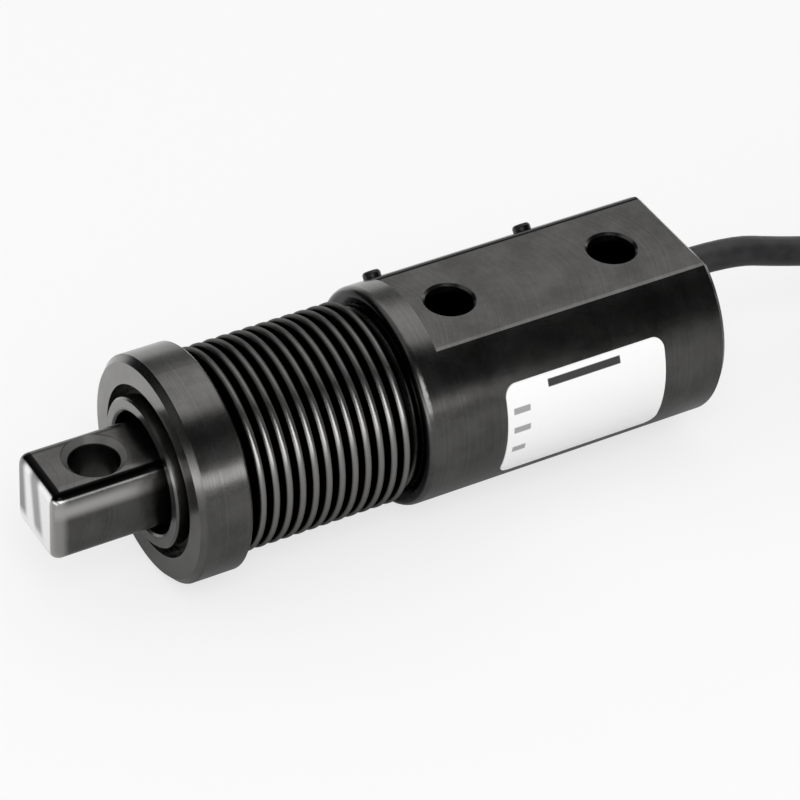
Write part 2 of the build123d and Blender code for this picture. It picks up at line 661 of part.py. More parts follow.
def end_cores():
    """Bare conductors at the cable's far end."""
    tip = SHRINK_END - END_CORE_LENGTH
    return Compound([rod(tip, SHRINK_END, CORE_R, TAIL_Y + y, LOW_TURN_Z + z) for y, z in core_places()])


def save(name, shape):
    shape.label = name
    export_step(shape, "parts/" + name + ".step")


def main():
    os.makedirs("parts", exist_ok=True)
    stations = plug_stations()
    bands = coil_ties()
    coil = cable_coil()
    nodes = {
        "spring_element": spring_element(),
        "hub_sleeve": hub_sleeve(),
        "front_collar": front_collar(),
        "front_weld": front_weld(),
        "bellows": bellows(),
        "front_cuff_ring": cuff_ring(COLLAR_REAR),
        "rear_cuff_ring": cuff_ring(FLANGE_FRONT - CUFF_RING_WIDTH),
        "gauge_top_front": gauge(BORE_X[0], 1),
        "gauge_top_rear": gauge(BORE_X[1], 1),
        "gauge_bottom_front": gauge(BORE_X[0], -1),
        "gauge_bottom_rear": gauge(BORE_X[1], -1),
        "terminal_strip_top": terminal_strip(1),
        "terminal_strip_bottom": terminal_strip(-1),
        "gauge_jumpers": gauge_jumpers(),
        "side_jumper": side_jumper(),
        "bridge_lead": bridge_lead(),
        "lead_sleeve": lead_sleeve(),
        "trim_board": trim_board(),
        "trim_resistors": trim_resistors(),
        "board_spacers": board_spacers(),
        "board_screws": board_screws(),
        "rear_cover": rear_cover(),
        "cover_weld": cover_weld(),
        "cable_bush": cable_bush(),
        "bush_nut": bush_nut(),
        "cable_seal": cable_seal(),
        "inner_cores": inner_cores(),
        "purge_plug": plug(stations[0]),
        "fill_plug": plug(stations[1]),
        "plug_washers": plug_washers(),
        "label_plate": label_plate(),
        "cable": cable(),
        "cable_coil": coil,
        "coil_ties": Compound(bands),
        "heat_shrink": heat_shrink(),
        "end_cores": end_cores(),
    }
    for name, shape in nodes.items():
        save(name, shape)


main()
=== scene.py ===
import math

import bpy
from mathutils import Matrix, Vector


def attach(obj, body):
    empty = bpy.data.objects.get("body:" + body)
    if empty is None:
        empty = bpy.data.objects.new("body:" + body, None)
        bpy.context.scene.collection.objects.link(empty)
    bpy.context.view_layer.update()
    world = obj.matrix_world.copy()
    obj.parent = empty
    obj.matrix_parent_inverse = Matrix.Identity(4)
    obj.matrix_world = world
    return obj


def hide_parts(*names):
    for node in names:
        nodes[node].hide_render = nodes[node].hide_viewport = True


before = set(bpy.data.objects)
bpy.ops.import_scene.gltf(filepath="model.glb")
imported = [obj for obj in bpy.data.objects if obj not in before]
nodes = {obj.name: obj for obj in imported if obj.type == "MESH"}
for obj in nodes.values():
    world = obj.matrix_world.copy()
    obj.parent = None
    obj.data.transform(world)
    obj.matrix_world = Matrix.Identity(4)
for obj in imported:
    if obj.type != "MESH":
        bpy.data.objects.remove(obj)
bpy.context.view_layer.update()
print("frame loaded:", len(nodes), "nodes")

# Camera, fitted to the photograph: degrees and metres, and a lens in millimetres
cameraLook = {
    "aim": (0.0785, 0.0, 0.0),
    "azimuth": -32.03,
    "elevation": 39.22,
    "roll": 3.398,
    "distance": 0.781545,
    "across": -0.008594,
    "up": -0.005718,
    "lens": 174.52,
    "sensor": 36.0,
    "clip": (0.01, 20.0),
}


def makeCamera(look):
    around, above = math.radians(look["azimuth"]), math.radians(look["elevation"])
    flat = math.cos(above)
    back = Vector((math.sin(around) * flat, -math.cos(around) * flat, math.sin(above)))
    right = Vector((0, 0, 1)).cross(back).normalized()
    top = back.cross(right)
    place = Vector(look["aim"]) + right * look["across"] + top * look["up"]
    place += back * look["distance"]
    roll = math.radians(look["roll"])
    rolledRight = right * math.cos(roll) + top * math.sin(roll)
    rolledTop = top * math.cos(roll) - right * math.sin(roll)
    bpy.ops.object.camera_add()
    camera = bpy.context.object
    camera.name = "camera"
    turned = Matrix((rolledRight, rolledTop, back)).transposed()
    camera.matrix_world = Matrix.Translation(place) @ turned.to_4x4()
    camera.data.lens = look["lens"]
    camera.data.sensor_width = look["sensor"]
    camera.data.clip_start, camera.data.clip_end = look["clip"]
    bpy.context.scene.camera = camera


def clearSelection():
    if bpy.context.object and bpy.context.object.mode != "OBJECT":
        bpy.ops.object.mode_set(mode="OBJECT")
    bpy.ops.object.select_all(action="DESELECT")


clearSelection()
makeCamera(cameraLook)

# Cable: out of the bush, down to a long tied coil, round it and out to its end
cableLook = {
    "thickness": 0.0063,
    "length": 2.8,
    "route": [
        (0.1340, 0.0, 0.0085),
        (0.1465, 0.0, 0.0085),
        (0.1589, 0.0, 0.00395),
        (0.1712, 0.0, 0.0),
        (0.1824, 0.0, 0.0),
    ],
    "start": 0.202,   # where the coil's straight runs begin
    "run": 0.056,
    "middle": -0.0252,   # across, between the two runs
    "columns": [0.0252, 0.01885],   # radius of the outer and the inner turns
    "low": -0.01905,   # height of the lowest layer
    "layer": 0.00635,
    "firstLayer": 3,
    "turns": 10.5,
    "shift": 0.12,   # share of a turn over which the cable moves to the next place
    "lastShift": 0.77,   # share of the first turn by which the first move is over
    # moves made at the same share of a turn stand together: (inwards, upwards)
    "moves": [
        [(0, 1), (0, 1)],
        [(1, 0)],
        [(0, -1), (0, -1), (0, -1)],
        [(-1, 0)],
        [(0, -1)],
        [(1, 0)],
        [(0, -1)],
        [(-1, 0)],
    ],
    "foldPoints": 8,   # points round each end of the coil
    "runSplits": 3,
    "tail": [(0.1930, -0.0504, -0.01905), (0.1812, -0.0504, -0.01905)],
}


def windingMarks(look):
    # at which radius and height the cable is after how many turns
    column, layer, turn = 0, look["firstLayer"], 0
    end = look["lastShift"]

    def where():
        return look["columns"][column], look["low"] + layer * look["layer"]

    marks = [(0, *where())]
    for group in look["moves"]:
        for inward, upward in group:
            marks.append((turn + end - look["shift"], *where()))
            column += inward
            layer += upward
            marks.append((turn + end, *where()))
            turn += 1
        end -= look["shift"]
    marks.append((look["turns"], *where()))
    return marks


def between(marks, place):
    for first, second in zip(marks, marks[1:]):
        if first[0] <= place < second[0]:
            share = (place - first[0]) / (second[0] - first[0])
            share = share * share * (3 - 2 * share)
            return [a + (b - a) * share for a, b in zip(first[1:], second[1:])]
    return marks[-1][1:]


def turnStations(look):
    # one turn of the coil: share of the turn, place along, direction and reach of each point
    fold, run = math.pi * sum(look["columns"]) / 2, look["run"]
    whole = 2 * (fold + run)
    count, splits = look["foldPoints"], look["runSplits"]
    step = 180 / count
    outward = 1 / math.cos(math.radians(step / 2))
    stations = []
    for half, along in enumerate((look["start"] + run, look["start"])):
        for number in range(count):
            share = half * 0.5 + (number + 0.5) / count * fold / whole
            direction = 90 - step * (number + 0.5) - 180 * half
            stations.append((share, along, direction, outward))
        for split in range(1, splits):
            further = run * split / splits
            share = half * 0.5 + (fold + further) / whole
            if half:
                stations.append((share, along + further, 90, 1.0))
            else:
                stations.append((share, along - further, -90, 1.0))
    return stations


def cablePoints(look):
    points = list(look["route"])
    marks = windingMarks(look)
    for turn in range(math.ceil(look["turns"])):
        for share, along, direction, outward in turnStations(look):
            if turn + share > look["turns"]:
                break
            radius, height = between(marks, turn + share)
            angle = math.radians(direction)
            reach = radius * outward
            across = look["middle"] + reach * math.sin(angle)
            points.append((along + reach * math.cos(angle), across, height))
    return points + look["tail"]


def softLine(name, points, thickness):
    curve = bpy.data.curves.new(name, "CURVE")
    curve.dimensions = "3D"
    spline = curve.splines.new("NURBS")
    spline.points.add(len(points) - 1)
    for target, point in zip(spline.points, points):
        target.co = (*point, 1.0)
        target.radius = thickness / 2
    spline.order_u = 3
    spline.use_endpoint_u = True
    spline.resolution_u = 6
    curve.bevel_depth = 1.0   # times each point's radius
    curve.bevel_resolution = 5
    curve.use_fill_caps = True
    line = bpy.data.objects.new(name, curve)
    bpy.context.scene.collection.objects.link(line)
    return line


cable = softLine("signal_cable", cablePoints(cableLook), cableLook["thickness"])
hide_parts("cable", "cable_coil")
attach(cable, "root")
print("camera and cable made")


class Field:  # a shader socket that takes Python's operators
    def __init__(self, finish, socket):
        self.finish = finish
        self.socket = socket

    def calc(self, operation, first, second=0.0):
        return self.finish.add("ShaderNodeMath", {"operation": operation}, {0: first, 1: second})

    def wave(self):
        return self.calc("SINE", self)

    def size(self):
        return self.calc("ABSOLUTE", self)

    def part(self, name):   # another output of the same node
        return Field(self.finish, self.socket.node.outputs[name])

    def __add__(self, other):
        return self.calc("ADD", self, other)

    def __radd__(self, other):
        return self.calc("ADD", other, self)

    def __sub__(self, other):
        return self.calc("SUBTRACT", self, other)

    def __rsub__(self, other):
        return self.calc("SUBTRACT", other, self)

    def __mul__(self, other):
        return self.calc("MULTIPLY", self, other)

    def __rmul__(self, other):
        return self.calc("MULTIPLY", other, self)

    def __pow__(self, other):
        return self.calc("POWER", self, other)

    def __rpow__(self, other):
        return self.calc("POWER", other, self)


noiseRange = (0.3, 0.7)   # nearly all of a noise's values lie between these


class Finish:  # the nodes of one material or world
    def __init__(self, tree):
        self.tree = tree
        tree.nodes.clear()

    def add(self, nodeType, settings=None, sockets=None, output=0):
        node = self.tree.nodes.new(nodeType)
        for name, value in (settings or {}).items():
            setattr(node, name, value)
        for name, value in (sockets or {}).items():
            if isinstance(value, Field):
                self.tree.links.new(value.socket, node.inputs[name])
            else:
                node.inputs[name].default_value = value
        return Field(self, node.outputs[output]) if node.outputs else None

    def place(self):
        return self.add("ShaderNodeTexCoord", output="Object")

    def axes(self, vector):
        split = self.add("ShaderNodeSeparateXYZ", sockets={0: vector})
        return split, split.part("Y"), split.part("Z")

    def noise(self, vector, scale, detail=2.0, roughness=0.5):
        sockets = {"Vector": vector, "Scale": scale, "Detail": detail, "Roughness": roughness}
        return self.add("ShaderNodeTexNoise", sockets=sockets)

    def lines(self, value, scale, detail):
        settings = {"noise_dimensions": "1D"}
        sockets = {"W": value, "Scale": scale, "Detail": detail}
        return self.add("ShaderNodeTexNoise", settings, sockets)

    def rise(self, value, low, high):   # 0 below low, 1 above high
        settings = {"interpolation_type": "SMOOTHSTEP"}
        sockets = {"Value": value, "From Min": low, "From Max": high}
        return self.add("ShaderNodeMapRange", settings, sockets)

    def fall(self, value, low, high):   # 1 below low, 0 above high
        return 1 - self.rise(value, low, high)

    def inside(self, value, low, high, edge):
        return self.rise(value, low - edge, low + edge) * self.fall(value, high - edge, high + edge)

    def blend(self, factor, first, second):
        settings = {"data_type": "RGBA"}
        return self.add("ShaderNodeMix", settings, {0: factor, 6: first, 7: second}, 2)

    def radius(self, second, third):
        return (second * second + third * third) ** 0.5

    def angle(self, second, third):
        return second.calc("ARCTAN2", second, third)

    def bump(self, height, strength, distance):
        sockets = {"Height": height, "Strength": strength, "Distance": distance}
        return self.add("ShaderNodeBump", sockets=sockets)

    def surface(self, sockets):
        shader = self.add("ShaderNodeBsdfPrincipled", sockets=sockets)
        self.add("ShaderNodeOutputMaterial", sockets={"Surface": shader})


def newFinish(name):
    material = bpy.data.materials.new(name)
    material.use_nodes = True
    return material, Finish(material.node_tree)


def grey(value, tint=(1.0, 1.0, 1.0)):
    return (value * tint[0], value * tint[1], value * tint[2], 1.0)


steelTint = (1.0, 0.985, 0.96)

# Metal finishes: shades are linear, scales are per metre, places are in metres
metalLooks = {
    "cell_steel": {
        "shades": (0.125, 0.200), "tint": steelTint, "roughness": (0.20, 0.27),
        "faceShades": (0.17, 0.24),   # of the collar's face
        "mottle": 140, "grain": 2600, "turning": 1800, "bump": 0.10, "depth": 0.00006,
    },
    "bellows_steel": {
        "shades": (0.145, 0.215), "tint": steelTint, "roughness": (0.28, 0.36),
        # painted shade: below these reaches the folds' roots are painted nearly black, where shade
        # falls between the crests
        "grooves": (0.0204, 0.0209), "paintedGrooveShade": 0.010,   # dark below the crests
        # painted highlight: the crests are painted lighter on the near side, from these radians
        # from the top on
        "paintedHighlightTurn": (0.58, 0.72), "nearShade": 0.36,   # radians from the top to the near side
        "grazing": 0.42,   # how bright it is where it turns away
        "mottle": 190, "grain": 2200, "turning": 2600, "bump": 0.015, "depth": 0.00004,
    },
    "cover_steel": {
        "shades": (0.16, 0.24), "tint": steelTint, "roughness": (0.30, 0.42),
        "mottle": 160, "grain": 2400, "turning": 2600, "bump": 0.08, "depth": 0.00005,
    },
    "bush_metal": {
        "shades": (0.42, 0.56), "tint": (1.0, 0.98, 0.92), "roughness": (0.22, 0.34),
        "mottle": 260, "grain": 3000, "turning": 3800, "bump": 0.05, "depth": 0.00004,
    },
    "plug_steel": {
        "shades": (0.05, 0.09), "tint": (0.98, 0.98, 1.0), "roughness": (0.30, 0.44),
        "mottle": 420, "grain": 3600, "turning": 4200, "bump": 0.08, "depth": 0.00004,
    },
    "washer_copper": {
        "shades": (0.62, 0.80), "tint": (0.95, 0.52, 0.34), "roughness": (0.28, 0.45),
        "mottle": 700, "grain": 3600, "turning": 4200, "bump": 0.06, "depth": 0.00003,
    },
    "screw_steel": {
        "shades": (0.40, 0.55), "tint": (1.0, 1.0, 0.98), "roughness": (0.25, 0.38),
        "mottle": 600, "grain": 4200, "turning": 5200, "bump": 0.08, "depth": 0.00003,
    },
}


def metalFinish(name, look):
    material, finish = newFinish(name)
    place = finish.place()
    along, across, up = finish.axes(place)
    reach = finish.radius(across, up)
    mottle = finish.noise(place, look["mottle"], 4.0, 0.6)
    grain = finish.noise(place, look["grain"], 2.0, 0.6)
    turning = finish.lines(along + reach, look["turning"], 3.0)
    spread = finish.rise(mottle * 0.6 + grain * 0.2 + turning * 0.2, *noiseRange)
    colour = finish.blend(spread, *(grey(shade, look["tint"]) for shade in look["shades"]))
    if "grooves" in look:
        # painted highlight on the near side of the crests
        near = finish.rise(finish.angle(across * -1, up), *look["paintedHighlightTurn"])
        colour = finish.blend(near, colour, grey(look["nearShade"], look["tint"]))
        # painted shade in the roots between the crests
        crest = finish.rise(reach, *look["grooves"])
        colour = finish.blend(crest, grey(look["paintedGrooveShade"]), colour)
    rough = finish.rise(grain * 0.5 + mottle * 0.5, *noiseRange)
    low, high = look["roughness"]
    sockets = {
        "Base Color": colour,
        "Metallic": 1.0,
        "Roughness": rough * (high - low) + low,
        "Specular Tint": grey(look.get("grazing", 1.0)),
        "Normal": finish.bump(grain * 0.5 + turning * 0.5, look["bump"], look["depth"]),
    }
    if "faceShades" in look:
        shades = (grey(shade, look["tint"]) for shade in look["faceShades"])
        machined = finish.blend(spread, *shades)
        paintFaces(finish, sockets, machined, look["tint"], (along, across, up, reach))
    finish.surface(sockets)
    return material


# Finer finishes of the spring element, sleeve and collar, with painted light and shade. Each pair
# is the two places
# between which a finish comes in: along, across, up, or the reach from the cell's middle line.
collarLook = {
    "front": (0.0093, 0.0097),
    "rear": (0.0124, 0.0128),
    "inner": (0.0134, 0.0136),
    # painted shade: the groove and recess behind the collar's face, all within it, and a ring on
    # the flange round the bellows are painted nearly black
    "deep": (0.0122, 0.0130),   # groove and recess behind the collar's face
    "deepReach": (0.0176, 0.0178),
    "flangeFront": (0.0608, 0.0612),   # dark ring on the flange, round the bellows
    "flangeRear": (0.0619, 0.0623),
    "flangeReach": (0.0170, 0.0172),
    "paintedRecessShade": 0.012,
}
blockLook = {
    "reach": (0.0112, 0.0116),   # the load block is all within it
    "bandLow": (0.0016, 0.0042),   # painted highlight: a bright band along its near side
    "bandHigh": (0.0046, 0.0069),
    "bandSide": (0.0075, 0.0079),
    "nose": (-0.0112, -0.0092),   # painted highlight on the rounding between near side and end
    "noseSide": (0.0064, 0.0070),
    "noseHighlightShare": 0.6,
    "paintedHighlightShade": 0.78,
    "edgeSide": (0.0063, 0.0066),   # painted dark reflection along the edges round its top
    "edgeTop": (0.0069, 0.0072),
    "edgeNose": (-0.0107, -0.0104),
    "flatSide": (0.0116, 0.0119),   # and a painted dark line along the far edge of the mounting flat
    "flatTop": (0.0181, 0.0184),
    "flatFront": (0.0680, 0.0683),
    "paintedEdgeShade": 0.010,
}
# Load hole: a lighter, matt ring on its countersink is a painted highlight, and its wall inside is
# painted nearly black as painted shade
holeLook = {
    "wall": (0.0050, 0.0053),   # reach from the load hole's middle line
    "sink": (0.0062, 0.0066),
    "sinkTop": (0.0066, 0.0071),
    "paintedSinkLight": 0.13,
    "sinkMatt": 0.8,   # share by which it stops looking like metal
    "paintedWallShade": 0.008,
}
endLook = {   # end of the load block, painted nearly white and matt as a painted reflection of the pale studio
    "face": (-0.0123, -0.0119),
    "nearSide": (-0.0069, -0.0063),
    "shade": 0.90,
    "matt": 0.85,
    "bandEdge": 0.0010,
    "bandFoot": (-0.0062, -0.0035),
    "bands": [   # soft upright grey bands, painted reflections
        {"middle": 0.0061, "slant": 0.06, "half": 0.0019, "shade": 0.20},
        {"middle": -0.0008, "slant": 0.14, "half": 0.0017, "shade": 0.28},
    ],
}


def paintFaces(finish, sockets, machined, tint, spots):
    along, across, up, reach = spots
    colour = paintCollar(finish, sockets["Base Color"], machined, along, reach)
    colour = paintBlock(finish, colour, tint, *spots)
    colour, sink = paintHole(finish, colour, tint, along, across, up)
    sockets["Base Color"], end = paintEnd(finish, colour, along, across, up)
    sockets["Metallic"] = (1 - end * endLook["matt"]) * (1 - sink * holeLook["sinkMatt"])


def paintCollar(finish, colour, machined, along, reach):
    look, rise, fall = collarLook, finish.rise, finish.fall
    face = rise(along, *look["front"]) * fall(along, *look["rear"]) * rise(reach, *look["inner"])
    # painted shade in the recess and in the ring on the flange
    deep = rise(along, *look["deep"]) * fall(reach, *look["deepReach"])
    flange = rise(along, *look["flangeFront"]) * fall(along, *look["flangeRear"])
    flange = flange * rise(reach, *look["flangeReach"])
    colour = finish.blend(face, colour, machined)
    return finish.blend(deep + flange, colour, grey(look["paintedRecessShade"]))


def paintBlock(finish, colour, tint, along, across, up, reach):
    look, rise, fall = blockLook, finish.rise, finish.fall
    block = fall(reach, *look["reach"])
    near = across * -1
    # painted highlight: a bright band along the near side and on the near rounding of the nose
    band = rise(up, *look["bandLow"]) * fall(up, *look["bandHigh"]) * rise(near, *look["bandSide"])
    nose = fall(along, *look["nose"]) * rise(near, *look["noseSide"])
    paintedHighlight = (band + nose * look["noseHighlightShare"] * (1 - band)) * block
    colour = finish.blend(paintedHighlight, colour, grey(look["paintedHighlightShade"], tint))
    # painted dark reflection along the block's top edges and the flat's far edge
    side = rise(across.size(), *look["edgeSide"])
    edge = side.calc("MAXIMUM", side, fall(along, *look["edgeNose"]))
    edge = edge * rise(up, *look["edgeTop"]) * block
    flat = rise(across, *look["flatSide"]) * rise(up, *look["flatTop"])
    flat = flat * rise(along, *look["flatFront"])
    return finish.blend(edge + flat, colour, grey(look["paintedEdgeShade"]))


def paintHole(finish, colour, tint, along, across, up):
    look = holeLook
    reach = finish.radius(along, across)
    past = finish.rise(reach, *look["wall"])
    # painted highlight on the countersink and painted shade on the wall inside
    sink = past * finish.fall(reach, *look["sink"]) * finish.rise(up.size(), *look["sinkTop"])
    colour = finish.blend(sink, colour, grey(look["paintedSinkLight"], tint))
    return finish.blend(1 - past, colour, grey(look["paintedWallShade"])), sink


def paintEnd(finish, colour, along, across, up):
    look = endLook
    # painted reflection: the end face is painted nearly white and matt, with soft grey bands
    end = finish.fall(along, *look["face"]) * finish.rise(across, *look["nearSide"])
    foot = finish.rise(up, *look["bandFoot"])
    ground = grey(look["shade"])
    for band in look["bands"]:
        low, high = band["middle"] - band["half"], band["middle"] + band["half"]
        stripe = finish.inside(across - up * band["slant"], low, high, look["bandEdge"]) * foot
        ground = finish.blend(stripe, ground, grey(band["shade"]))
    return finish.blend(end, colour, ground), end


weldLook = {
    "shades": (0.10, 0.26),
    "tints": ((1.0, 0.9, 0.8), steelTint),
    "heat": 220,
    "heatRange": (0.35, 0.65),
    "ripples": 110,
    "wobble": (300, 5),   # scale and strength
    "roughness": (0.32, 0.52),
    "bump": 0.5,
    "depth": 0.00015,
}


def weldFinish(name, look):
    material, finish = newFinish(name)
    place = finish.place()
    turn = finish.angle(*finish.axes(place)[1:])
    scale, strength = look["wobble"]
    wobble = finish.noise(place, scale) * strength
    ripple = (turn * look["ripples"] + wobble).wave()
    heat = finish.noise(place, look["heat"], 3.0, 0.6)
    shades = (grey(shade, tint) for shade, tint in zip(look["shades"], look["tints"]))
    low, high = look["roughness"]
    finish.surface({
        "Base Color": finish.blend(finish.rise(heat, *look["heatRange"]), *shades),
        "Metallic": 1.0,
        "Roughness": heat * (high - low) + low,
        "Normal": finish.bump(ripple * 0.5 + 0.5, look["bump"], look["depth"]),
    })
    return material


coreInsulation = {
    "colours": ((0.30, 0.030, 0.022), (0.38, 0.040, 0.030)), "roughness": (0.34, 0.44),
    "mottle": 700, "grain": 4200, "bump": 0.05, "depth": 0.00002,
}

# Plastics, rubber, board and wire: two colours, their mottle and how rough they are
softLooks = {
    "cable_jacket": {
        "colours": ((0.022, 0.022, 0.024), (0.034, 0.034, 0.036)), "roughness": (0.42, 0.55),
        "mottle": 240, "grain": 2600, "bump": 0.12, "depth": 0.00008,
    },
    "wire_sleeve": {
        "colours": ((0.60, 0.58, 0.52), (0.70, 0.68, 0.62)), "roughness": (0.42, 0.52),
        "mottle": 500, "grain": 3800, "bump": 0.05, "depth": 0.00003,
    },
    "seal_rubber": {
        "colours": ((0.014, 0.014, 0.015), (0.024, 0.024, 0.025)), "roughness": (0.62, 0.74),
        "mottle": 420, "grain": 3600, "bump": 0.12, "depth": 0.00005,
    },
    "tie_strap": {
        "colours": ((0.020, 0.020, 0.021), (0.030, 0.030, 0.031)), "roughness": (0.34, 0.44),
        "mottle": 260, "grain": 1400, "bump": 0.15, "depth": 0.0001,
    },
    "shrink_tube": {
        "colours": ((0.012, 0.012, 0.013), (0.020, 0.020, 0.021)), "roughness": (0.50, 0.62),
        "mottle": 380, "grain": 1500, "bump": 0.20, "depth": 0.00012,
    },
    "resistor_body": {
        "colours": ((0.018, 0.018, 0.020), (0.030, 0.030, 0.032)), "roughness": (0.36, 0.48),
        "mottle": 900, "grain": 4200, "bump": 0.08, "depth": 0.00003,
    },
    "strip_board": {
        "colours": ((0.30, 0.24, 0.10), (0.38, 0.31, 0.14)), "roughness": (0.40, 0.52),
        "mottle": 600, "grain": 3800, "bump": 0.08, "depth": 0.00003,
    },
    "circuit_board": {
        "colours": ((0.010, 0.095, 0.040), (0.016, 0.130, 0.055)), "roughness": (0.28, 0.38),
        "mottle": 260, "grain": 3200, "bump": 0.06, "depth": 0.00004,
    },
    "gauge_foil": {
        "colours": ((0.50, 0.22, 0.045), (0.60, 0.28, 0.060)), "roughness": (0.25, 0.36),
        "mottle": 520, "grain": 4200, "bump": 0.05, "depth": 0.00002,
    },
    "near_cores": coreInsulation,
    "far_cores": coreInsulation,
}


def softFinish(name, look, change=None):
    material, finish = newFinish(name)
    place = finish.place()
    mottle = finish.noise(place, look["mottle"], 3.0, 0.55)
    grain = finish.noise(place, look["grain"], 2.0, 0.55)
    dark, light = (grey(1.0, colour) for colour in look["colours"])
    low, high = look["roughness"]
    rough = finish.rise(mottle * 0.6 + grain * 0.4, *noiseRange)
    sockets = {
        "Base Color": finish.blend(finish.rise(mottle, *noiseRange), dark, light),
        "Roughness": rough * (high - low) + low,
        "Normal": finish.bump(grain, look["bump"], look["depth"]),
    }
    if change:
        change(finish, place, sockets)
    finish.surface(sockets)
    return material


# Four cores, each with its own colour, and tinned copper where the cable's far end is stripped
coreLook = {
    "colours": [
        (0.42, 0.030, 0.022), (0.020, 0.020, 0.022), (0.030, 0.20, 0.050), (0.70, 0.70, 0.68),
    ],
    "edge": 0.00005,
    "copper": (0.78, 0.74, 0.70),
    "near_cores": {"middle": (0.0, 0.0085)},
    "far_cores": {"middle": (-0.0504, -0.01895), "stripped": (0.1624, 0.1626)},
}


def colourCores(bundle):
    def change(finish, place, sockets):
        along, across, up = finish.axes(place)
        edge = coreLook["edge"]
        middle, height = bundle["middle"]
        right = finish.rise(across, middle - edge, middle + edge)
        top = finish.rise(up, height - edge, height + edge)
        first, second, third, fourth = (grey(1.0, colour) for colour in coreLook["colours"])
        left = finish.blend(right, first, second)
        colour = finish.blend(top, left, finish.blend(right, third, fourth))
        if "stripped" in bundle:
            bare = finish.fall(along, *bundle["stripped"])
            colour = finish.blend(bare, colour, grey(1.0, coreLook["copper"]))
            sockets["Metallic"] = bare
        sockets["Base Color"] = colour

    return change


# Foil grid of the gauges and tracks of the board, both drawn by a wave: its radians per metre,
# the height at which it draws a line, and how far to each side it goes
gridLook = {
    "wave": 9000, "line": (-0.2, 0.2), "half": 0.0016, "edge": 0.00005,
    "colour": (0.62, 0.527, 0.4092), "metal": 0.9,
}
trackLook = {
    "wave": 2400, "line": (0.75, 0.85), "half": 0.009, "edge": 0.0001,
    "colour": (0.03, 0.20, 0.09),
}


def drawGrid(finish, place, sockets):
    look = gridLook
    across = finish.axes(place)[1]
    strands = finish.rise((across * look["wave"]).wave(), *look["line"])
    strands = strands * finish.inside(across, -look["half"], look["half"], look["edge"])
    sockets["Base Color"] = finish.blend(strands, sockets["Base Color"], grey(1.0, look["colour"]))
    sockets["Metallic"] = strands * look["metal"]


def drawTracks(finish, place, sockets):
    look = trackLook
    across, up = finish.axes(place)[1:]
    tracks = finish.rise((up * look["wave"]).wave(), *look["line"])
    tracks = tracks * finish.inside(across, -look["half"], look["half"], look["edge"])
    sockets["Base Color"] = finish.blend(tracks, sockets["Base Color"], grey(1.0, look["colour"]))


# Blank label: a plain bar and three short dashes, along and round the body, in metres
labelLook = {
    "radius": 0.0231,
    "paper": (0.86, 0.90),
    "fibre": 900,
    "mottle": 90,
    "roughness": (0.46, 0.58),
    "bump": 0.05,
    "depth": 0.00004,
    "ink": 0.035,
    "dashInk": 0.34,
    "bar": (0.0893, 0.1062, 0.0086, 0.0103),
    "dashes": [
        (0.0810, 0.0848, 0.0050, 0.0064),
        (0.0810, 0.0848, 0.0006, 0.0020),
        (0.0810, 0.0840, -0.0044, -0.0030),
    ],
    "edge": 0.00012,
}


def labelFinish(name, look):
    material, finish = newFinish(name)
    place = finish.place()
    along, across, up = finish.axes(place)
    turn = finish.angle(up, across * -1) * look["radius"]
    fibre = finish.noise(place, look["fibre"], 3.0, 0.6)
    mottle = finish.noise(place, look["mottle"])
    paper = finish.blend(fibre * 0.5 + mottle * 0.5, *(grey(shade) for shade in look["paper"]))

    def printed(bounds):
        left, right, low, high = bounds
        columns = finish.inside(along, left, right, look["edge"])
        return columns * finish.inside(turn, low, high, look["edge"])

    dashes = sum(printed(bounds) for bounds in look["dashes"])
    colour = finish.blend(dashes, paper, grey(look["dashInk"]))
    low, high = look["roughness"]
    finish.surface({
        "Base Color": finish.blend(printed(look["bar"]), colour, grey(look["ink"])),
        "Roughness": fibre * (high - low) + low,
        "Normal": finish.bump(fibre, look["bump"], look["depth"]),
    })
    return material


finishes = {name: metalFinish(name, look) for name, look in metalLooks.items()}
finishes["weld_steel"] = weldFinish("weld_steel", weldLook)
finishes["label_stock"] = labelFinish("label_stock", labelLook)
changes = {
    "gauge_foil": drawGrid,
    "circuit_board": drawTracks,
    "near_cores": colourCores(coreLook["near_cores"]),
    "far_cores": colourCores(coreLook["far_cores"]),
}
for name, look in softLooks.items():
    finishes[name] = softFinish(name, look, changes.get(name))
print("finishes made:", len(finishes))

# Which finish each carried-over node has
nodeFinishes = {
    "cell_steel": [
        "spring_element", "hub_sleeve", "front_collar", "front_cuff_ring", "rear_cuff_ring",
    ],
    "weld_steel": ["front_weld", "cover_weld"],
    "cover_steel": ["rear_cover"],
    "bush_metal": ["cable_bush", "bush_nut"],
    "plug_steel": ["purge_plug", "fill_plug"],
    "washer_copper": ["plug_washers"],
    "screw_steel": ["board_screws", "board_spacers", "gauge_jumpers"],
    "gauge_foil": [
        "gauge_top_front", "gauge_top_rear", "gauge_bottom_front", "gauge_bottom_rear",
    ],
    "strip_board": ["terminal_strip_top", "terminal_strip_bottom"],
    "wire_sleeve": ["lead_sleeve", "side_jumper", "bridge_lead"],
    "circuit_board": ["trim_board"],
    "resistor_body": ["trim_resistors"],
    "seal_rubber": ["cable_seal"],
    "label_stock": ["label_plate"],
    "tie_strap": ["coil_ties"],
    "near_cores": ["inner_cores"],
    "far_cores": ["end_cores"],
}


def dress(piece, material):
    piece.data.materials.clear()
    piece.data.materials.append(material)


for name, members in nodeFinishes.items():
    for member in members:
        dress(nodes[member], finishes[name])
dress(cable, finishes["cable_jacket"])
print("nodes dressed")

mergeDistance = 0.000002
smoothAngle = math.radians(40)


def startMesh(name):   # one vertex at the origin, in edit mode
    clearSelection()
    bpy.ops.mesh.primitive_plane_add(size=0.001)
    piece = bpy.context.object
    piece.name = name
    bpy.ops.object.mode_set(mode="EDIT")
    bpy.ops.mesh.select_all(action="SELECT")
    bpy.ops.mesh.merge(type="CENTER")
    return piece


